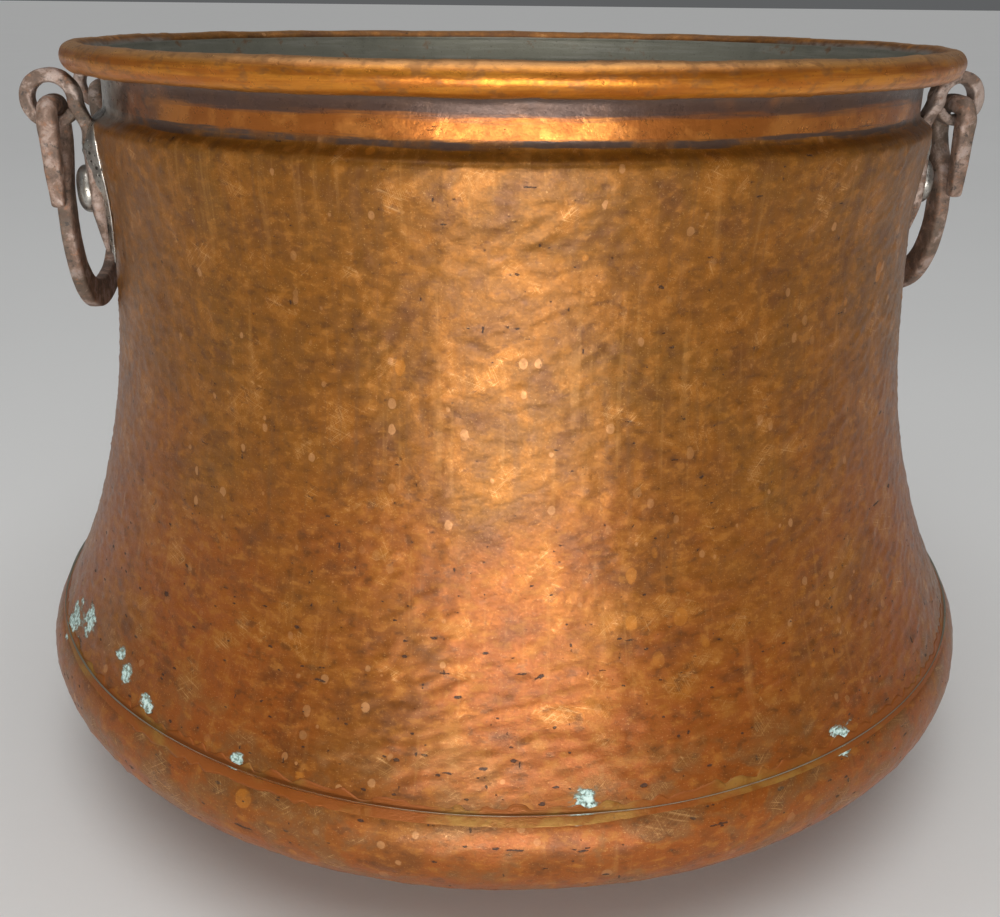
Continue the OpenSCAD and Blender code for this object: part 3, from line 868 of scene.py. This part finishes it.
def make_bracket(name, side, end, seed):
    """One bar: a pointed strap on the wall, a twisted neck, and an eye curled outward and down."""
    foot = [(FOOT_Z, 7, 2.2), (FOOT_Z + 5 * MM, 13, 3.4), (FOOT_Z + 14 * MM, 22, 5.2),
            (RIVET_Z - 12 * MM, 27.5, 7.0), (RIVET_Z, 28, 7.5), (RIVET_Z + 12 * MM, 26, 7.5),
            (RIVET_Z + 22 * MM, 19, 7.5), (EYE_Z - 15 * MM, 14.5, 7.5)]
    centre, wide, w, t = [], [], [], []
    for z, width, height in foot:
        centre.append(RADIAL * (STRAP_IN + height * MM / 2) + UP * z)
        wide.append(TANGENT)
        w.append(width * MM)
        t.append(height * MM)
    ring_r = EYE_R - EYE_BAR / 2
    eye = np.array([HINGE_X, EYE_Y, EYE_Z])
    sweep = np.radians(np.linspace(186, -146, 24))
    for k, a in enumerate(sweep):
        out = np.array([math.cos(a), 0.0, math.sin(a)])
        done = k / (len(sweep) - 1)
        centre.append(eye + out * ring_r)
        wide.append(ALONG_Y)
        w.append((12.5 - 2.5 * done) * MM)
        t.append(EYE_BAR * (1.0 - 0.22 * done ** 3))
    fine = even_table(np.column_stack([centre, wide, w, t]), 1.3 * MM)
    wide = fine[:, 3:6]
    run = np.gradient(fine[:, :3], axis=0)
    run /= np.linalg.norm(run, axis=1, keepdims=True)
    wide = wide / np.linalg.norm(wide, axis=1, keepdims=True)
    thick = np.cross(run, wide)
    thick /= np.linalg.norm(thick, axis=1, keepdims=True)
    powers = np.full(len(fine), 5.0)
    piece = bar(name, sided(fine[:, :3], side, end), sided(wide, side, end), sided(thick, side, end),
                fine[:, 6], fine[:, 7], powers, iron_bracket, seed, STRAP_ROUGH, 28)
    return outward(piece)


def even_table(table, step):
    """A smooth curve through the rows of a table whose first three columns are places, evenly spaced."""
    run = np.r_[0, np.cumsum(np.linalg.norm(np.diff(table[:, :3], axis=0), axis=1))]
    at = np.linspace(0, run[-1], int(run[-1] / step) + 1)
    slope = np.gradient(table, run, axis=0)
    k = np.clip(np.searchsorted(run, at, side="right") - 1, 0, len(run) - 2)
    h = (run[k + 1] - run[k])[:, None]
    u = ((at - run[k])[:, None]) / h
    return ((2 * u ** 3 - 3 * u ** 2 + 1) * table[k] + (u ** 3 - 2 * u ** 2 + u) * h * slope[k]
            + (3 * u ** 2 - 2 * u ** 3) * table[k + 1] + (u ** 3 - u ** 2) * h * slope[k + 1])


def bail_half():
    """From the tail's end to the middle of the grip: y, z, width, thickness and squareness."""
    leg_top = HINGE_Z - HOOK_BEND
    tail_y, leg_y = ROD_OUT_Y + HOOK_BEND, ROD_IN_Y - HOOK_BEND
    rod = 2 * BAIL_R / MM
    rows = [(tail_y, leg_top - TAIL_L + 2 * MM, 7.6, 7.2, 5.0),
            (tail_y, leg_top - 0.6 * TAIL_L, 8.8, 8.8, 5.5),
            (tail_y, leg_top - 0.2 * TAIL_L, 9.8, 9.8, 5.0), (tail_y, leg_top, rod, rod, 3.2)]
    for a in np.radians(np.linspace(18, 90, 6)):
        rows.append((ROD_OUT_Y + HOOK_BEND * math.cos(a), leg_top + HOOK_BEND * math.sin(a), rod, rod, 2.1))
    for a in np.radians(np.linspace(90, 180, 7)):
        rows.append((ROD_IN_Y + HOOK_BEND * math.cos(a), leg_top + HOOK_BEND * math.sin(a), rod, rod, 2.1))
    low = leg_top - 8 * MM
    leg = bezier([(leg_y, low), (leg_y, low - 14 * MM), (LEG_Y, low - 22 * MM), (LEG_Y, low - 46 * MM)],
                 np.linspace(0, 1, 9))
    for k, (y, z) in enumerate(leg):
        flat = float(smooth(0, 1, k / 8))
        width, height = (rod + (size / MM - rod) * flat for size in (GRIP_W, GRIP_T))
        rows.append((y, z, width, height, 2.3 + 3.2 * flat))
    low -= 46 * MM
    bottom = bezier([(LEG_Y, low), (LEG_Y, low - 32 * MM), (LEG_Y - 20 * MM, GRIP_Z), (0, GRIP_Z)],
                    np.linspace(0, 1, 12))[1:]
    rows += [(y, z, GRIP_W / MM, GRIP_T / MM, 5.5) for y, z in bottom]
    return rows


def make_bail(name, side, seed):
    half = bail_half()
    rows = half + [(-y, z, w, t, p) for y, z, w, t, p in half[-2::-1]]
    table = np.array([(HINGE_X, y, z, w * MM, t * MM, p) for y, z, w, t, p in rows])
    fine = even_table(table, 1.5 * MM)
    run = np.gradient(fine[:, :3], axis=0)
    run /= np.linalg.norm(run, axis=1, keepdims=True)
    thick = np.tile(ALONG_X, (len(fine), 1))
    wide = np.cross(thick, run)
    piece = bar(name, sided(fine[:, :3], side, 1), sided(wide, side, 1), sided(thick, side, 1),
                fine[:, 3], fine[:, 4], fine[:, 5], iron_bail, seed, BAIL_ROUGH)
    return outward(piece)


def dome_section(radius, height, rows, skirt):
    """Half section of a domed rivet head with a slightly flattened top, from its rim to its middle."""
    a = np.linspace(0, math.pi / 2, rows)
    return np.stack([radius * np.cos(a) ** 0.8, skirt + height * np.sin(a) ** 0.9], axis=1)


def make_rivet(name, side, end, seed):
    """The domed head on the strap and the flatter head inside the pot, beaten by hand."""
    points, faces = [], []
    heads = (
        (HEAD_R, HEAD_H - 0.4 * MM, STRAP_IN + STRAP_T - 0.8 * MM, 1.0),
        (INNER_HEAD_R, INNER_HEAD_H, WAIST_R - WALL_T + 0.6 * MM, -1.0),
    )
    columns = 40
    for radius, height, at, way in heads:
        line = dome_section(radius, height, 12, 0.8 * MM)
        rings = np.vstack([[[radius * 0.995, 0.0]], line[:-1]])
        first = len(points)
        for r, h in rings:
            for k in range(columns):
                a = 2 * math.pi * k / columns
                spot = Vector((math.cos(a) * r * 90, math.sin(a) * r * 90, seed))
                uneven = 1 + 0.05 * noise.noise(spot) * (r / radius)
                lift = h + 0.15 * MM * noise.noise(spot * 2.3) * (h > 0)
                points.append(RADIAL * (at + way * lift) + TANGENT * (r * uneven * math.cos(a))
                              + UP * (RIVET_Z + r * uneven * math.sin(a)))
        for f in grid_faces(len(rings), columns, False):
            faces.append(tuple(first + v for v in f))
        top = len(points)
        points.append(RADIAL * (at + way * (line[-1][1])) + UP * RIVET_Z)
        base = first + (len(rings) - 1) * columns
        for k in range(columns):
            faces.append((top, base + k, base + (k + 1) % columns))
        faces.append(tuple(first + k for k in range(columns))[::-1])
    return outward(mesh_object(name, sided(points, side, end), faces, [tin_rivet]))


def make_bed(name, side, end, seed):
    """The lumpy bed of tin that holds the strap to the wall and stands out round its edges."""
    rings, columns = 34, 110
    low = FOOT_Z - 5 * MM
    middle, half_h = (low + BED_TOP_Z) / 2, (BED_TOP_Z - low) / 2
    skin, back = [], []
    for i in range(rings + 1):
        rho = i / rings
        for k in range(columns):
            a = 2 * math.pi * k / columns
            edge = 1 + 0.10 * noise.noise(Vector((math.cos(a) * 2.2, math.sin(a) * 2.2, seed)))
            narrow = 0.76 + 0.24 * math.sin(a)
            u = BED_HALF_W * rho * edge * math.cos(a) * narrow
            z = middle + half_h * rho * edge * math.sin(a)
            wall = float(wall_radius(max(min(z, COLLAR_TOP_Z), FOOT_Z - 8 * MM)))
            face = math.sqrt(wall * wall - u * u)
            turn = math.atan2(u, face) + BRACKET_A
            world = math.pi / 2 + turn
            face += float(unevenness(np.array(world), np.array(z)))
            lump = noise.noise(Vector((u * 160, z * 160, seed * 3.1)))
            lump += 0.6 * noise.noise(Vector((u * 420, z * 420, seed)))
            thick = 4.2 * MM * (1 - float(smooth(384 * MM, 398 * MM, z))) + 0.9 * MM
            rough = 0.85 * MM * lump * (1 - rho ** 5) * (1 - 0.6 * float(smooth(388 * MM, 402 * MM, z)))
            height = thick * (1 - float(smooth(0.56, 0.98, rho))) + rough
            height = max(height, -0.1 * MM) + 0.1 * MM * (1 - rho)
            skin.append(RADIAL * (face + height - 0.15 * MM) + TANGENT * u + UP * z)
            back.append(RADIAL * (face - 1.2 * MM) + TANGENT * u * 0.98 + UP * z)
    points = skin + back
    n = len(skin)
    faces = [f for f in grid_faces(rings + 1, columns, False) if f[0] >= columns]
    faces += [tuple(n + v for v in f) for f in list(faces)]
    rim = rings * columns
    for k in range(columns):
        m = (k + 1) % columns
        faces.append((rim + k, rim + m, n + rim + m, n + rim + k))
    ring_one = tuple(columns + k for k in range(columns))
    points.append(sum(skin[columns:2 * columns]) / columns)
    points.append(sum(back[columns:2 * columns]) / columns)
    for k in range(columns):
        m = (k + 1) % columns
        faces.append((2 * n, ring_one[k], ring_one[m]))
        faces.append((2 * n + 1, n + ring_one[m], n + ring_one[k]))
    piece = mesh_object(name, sided(points, side, end), faces, [tin_bed])
    return outward(drop_loose(piece))


def drop_loose(piece):
    """Removes points that no face uses."""
    work = bmesh.new()
    work.from_mesh(piece.data)
    loose = [v for v in work.verts if not v.link_faces]
    bmesh.ops.delete(work, geom=loose, context="VERTS")
    work.to_mesh(piece.data)
    work.free()
    return piece


def settle(piece, body, slot, *nodes):
    """Every piece rides on a body and stands for its CAD nodes, which it hides. slot is not used."""
    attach(piece, body)
    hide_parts(*nodes)


settle(make_wall(), "pot", "copper_wall", "body_wall")
settle(make_pan(), "pot", "copper_base", "base_pan")
settle(make_base_seam(), "pot", "brass_spelter", "base_seam")
settle(make_side_seam(), "pot", "brass_spelter", "side_seam")
seed = 1
for side_name, side in SIDES.items():
    for end_name, end in ENDS.items():
        where = f"{side_name}_{end_name}"
        seed += 5
        strap = make_bracket(where + "_eye_strap", side, end, seed)
        settle(strap, "pot", "wrought_iron", where + "_bracket")
        bed = make_bed(where + "_tin_bed", side, end, seed + 1)
        settle(bed, "pot", "tin_solder", where + "_solder")
        heads = make_rivet(where + "_rivet_heads", side, end, seed + 2)
        settle(heads, "pot", "tinned_rivet", where + "_rivet")
    bail = side_name + "_bail"
    settle(make_bail(side_name + "_drop_handle", side, seed + 3), bail, "wrought_iron", bail)

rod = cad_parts["rim_rod"]
rod.data.materials.clear()
rod.data.materials.append(iron_bail)

# ------------------------------------------------------------------ stage, light and camera

def floor_material():
    g = Graph("pale_floor")
    soft = g.noise(g.place, 1.5, 3.0)
    colour = g.mix(soft, (0.80, 0.80, 0.79), (0.84, 0.84, 0.83))
    return g.finish(colour, 0.0, 0.75, g.bump(g.noise(g.place, 60.0, 3.0), 0.2 * MM))


FLOOR_HALF = 400.0
floor = mesh_object("floor", [(-FLOOR_HALF, -FLOOR_HALF, 0), (FLOOR_HALF, -FLOOR_HALF, 0),
                              (FLOOR_HALF, FLOOR_HALF, 0), (-FLOOR_HALF, FLOOR_HALF, 0)],
                    [(0, 1, 2, 3)], [floor_material()])

world = bpy.data.worlds.new("studio")
world.use_nodes = True
world.node_tree.nodes["Background"].inputs[0].default_value = (0.80, 0.82, 0.84, 1.0)
world.node_tree.nodes["Background"].inputs[1].default_value = 0.14
bpy.context.scene.world = world

# The camera stands a little to the left of the front and looks down at the pot
VIEW_TURN = math.radians(-8.0)
VIEW_DISTANCE = 2.759 * (ROLL_C + ROLL_R)
VIEW_HEIGHT = ROLL_Z + 0.107 * (ROLL_C + ROLL_R)
VIEW_PITCH = math.radians(22.44)
VIEW_YAW = math.radians(0.36)
VIEW_ROLL = math.radians(0.6)
LENS = 39.6
SENSOR_W = 36.0


def aimed(obj, target):
    """Points an object's -Z axis at a place."""
    way = Vector(target) - obj.location
    obj.rotation_euler = way.to_track_quat("-Z", "Y").to_euler()


def area_light(name, turn, distance, height, size, power, tint, target=(0, 0, 0.22)):
    data = bpy.data.lights.new(name, "AREA")
    data.shape = "RECTANGLE"
    data.size, data.size_y = size
    data.energy = power
    data.color = tint
    obj = bpy.data.objects.new(name, data)
    bpy.context.scene.collection.objects.link(obj)
    a = VIEW_TURN + math.radians(turn)
    obj.location = (distance * math.sin(a), -distance * math.cos(a), height)
    aimed(obj, target)
    return obj


area_light("key", 1, 1.5, 0.18, (0.95, 0.34), 13.5, (1.0, 0.98, 0.95), (0, 0, 0.34))
area_light("top", -10, 0.9, 2.3, (1.8, 1.8), 11, (1.0, 0.99, 0.97))
area_light("left_fill", -70, 2.4, 1.0, (0.6, 1.4), 2.0, (0.95, 0.98, 1.0))
area_light("right_fill", 75, 2.4, 1.0, (0.6, 1.4), 0.8, (0.95, 0.98, 1.0))

sky_data = bpy.data.lights.new("sky", "SUN")
sky_data.energy = 1.1
sky_data.angle = math.radians(70)
sky = bpy.data.objects.new("sky", sky_data)
bpy.context.scene.collection.objects.link(sky)
sky.location = (0, 0, 4)

camera_data = bpy.data.cameras.new("camera")
camera_data.sensor_width = SENSOR_W
camera_data.lens = LENS
camera_data.clip_start = 0.01
camera_data.clip_end = 2000
camera = bpy.data.objects.new("camera", camera_data)
bpy.context.scene.collection.objects.link(camera)
base = Matrix.Rotation(VIEW_TURN, 4, "Z") @ Matrix.Translation((0, -VIEW_DISTANCE, VIEW_HEIGHT))
look = Matrix.Rotation(VIEW_YAW, 4, "Z") @ Matrix.Rotation(math.pi / 2 - VIEW_PITCH, 4, "X")
camera.matrix_world = base @ look @ Matrix.Rotation(VIEW_ROLL, 4, "Z")
bpy.context.scene.camera = camera
bpy.context.scene.view_settings.view_transform = "Standard"
